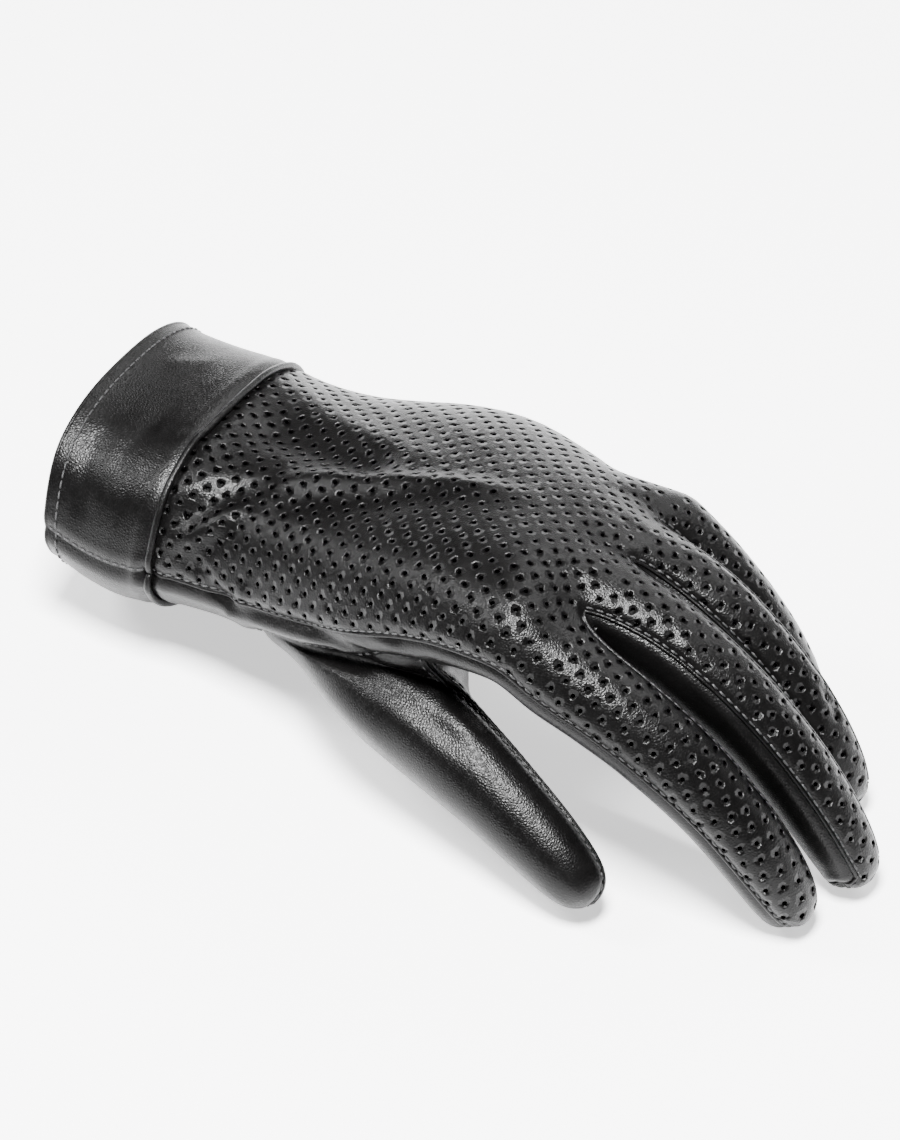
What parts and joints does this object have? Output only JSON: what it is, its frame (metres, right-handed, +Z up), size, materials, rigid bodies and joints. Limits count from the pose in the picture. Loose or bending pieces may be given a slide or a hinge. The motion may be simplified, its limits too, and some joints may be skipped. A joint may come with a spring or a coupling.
{
  "type": "leather driving glove",
  "caption": "Left-hand black leather driving glove with a perforated back, plain palm, sewn-in finger gussets and a smooth band cuff, lying palm down with its stalls curved.",
  "frame": {"origin": "centre of the footprint on the surface the glove lies on", "axes": "+X from the cuff to the fingertips, -Y towards the thumb side, +Z up from the palm to the back of the hand"},
  "size_m": [0.2272, 0.114, 0.0726],
  "materials": {
    "perforated_leather": "fine grained, punched, semi-matt",
    "smooth_leather": "smooth, soft sheen",
    "lining_cloth": "matt knit",
    "black_thread": "twisted thread"
  },
  "bodies": {
    "hand": {"hand_back": "perforated_leather", "hand_palm": "smooth_leather", "cuff_back": "smooth_leather", "cuff_palm": "smooth_leather", "cuff_facing": "smooth_leather", "hand_lining": "lining_cloth", "cuff_welt": "smooth_leather", "mouth_stitch": "black_thread", "seam_thumb_side": "black_thread", "seam_little_side": "black_thread", "index_flex": "smooth_leather", "middle_flex": "smooth_leather", "ring_flex": "smooth_leather", "little_flex": "smooth_leather", "thumb_flex": "smooth_leather"},
    "index": {"index_back": "perforated_leather", "index_palm": "smooth_leather", "index_gusset_far": "smooth_leather", "index_lining": "lining_cloth"},
    "middle": {"middle_back": "perforated_leather", "middle_palm": "smooth_leather", "middle_gusset_near": "smooth_leather", "middle_gusset_far": "smooth_leather", "middle_lining": "lining_cloth"},
    "ring": {"ring_back": "perforated_leather", "ring_palm": "smooth_leather", "ring_gusset_near": "smooth_leather", "ring_gusset_far": "smooth_leather", "ring_lining": "lining_cloth"},
    "little": {"little_back": "perforated_leather", "little_palm": "smooth_leather", "little_gusset_near": "smooth_leather", "little_lining": "lining_cloth"},
    "thumb": {"thumb_outer": "smooth_leather", "thumb_inner": "smooth_leather", "thumb_lining": "lining_cloth"}
  },
  "joints": [
    {"name": "index_bend", "type": "hinge", "parent": "hand", "child": "index", "pos_m": [0.03927, -0.02841, 0.05393], "axis": [0, 1, 0], "range_deg": [-25, 35], "deforming": ["index_flex"]},
    {"name": "middle_bend", "type": "hinge", "parent": "hand", "child": "middle", "pos_m": [0.04328, -0.00452, 0.05593], "axis": [0, 1, 0], "range_deg": [-25, 35], "deforming": ["middle_flex"]},
    {"name": "ring_bend", "type": "hinge", "parent": "hand", "child": "ring", "pos_m": [0.03927, 0.01773, 0.0508], "axis": [0, 1, 0], "range_deg": [-25, 35], "deforming": ["ring_flex"]},
    {"name": "little_bend", "type": "hinge", "parent": "hand", "child": "little", "pos_m": [0.0306, 0.03999, 0.04213], "axis": [0, 1, 0], "range_deg": [-25, 35], "deforming": ["little_flex"]},
    {"name": "thumb_swing", "type": "hinge", "parent": "hand", "child": "thumb", "pos_m": [-0.01329, -0.03133, 0.02751], "axis": [0, 0, 1], "range_deg": [-25, 2], "deforming": ["thumb_flex"]}
  ]
}
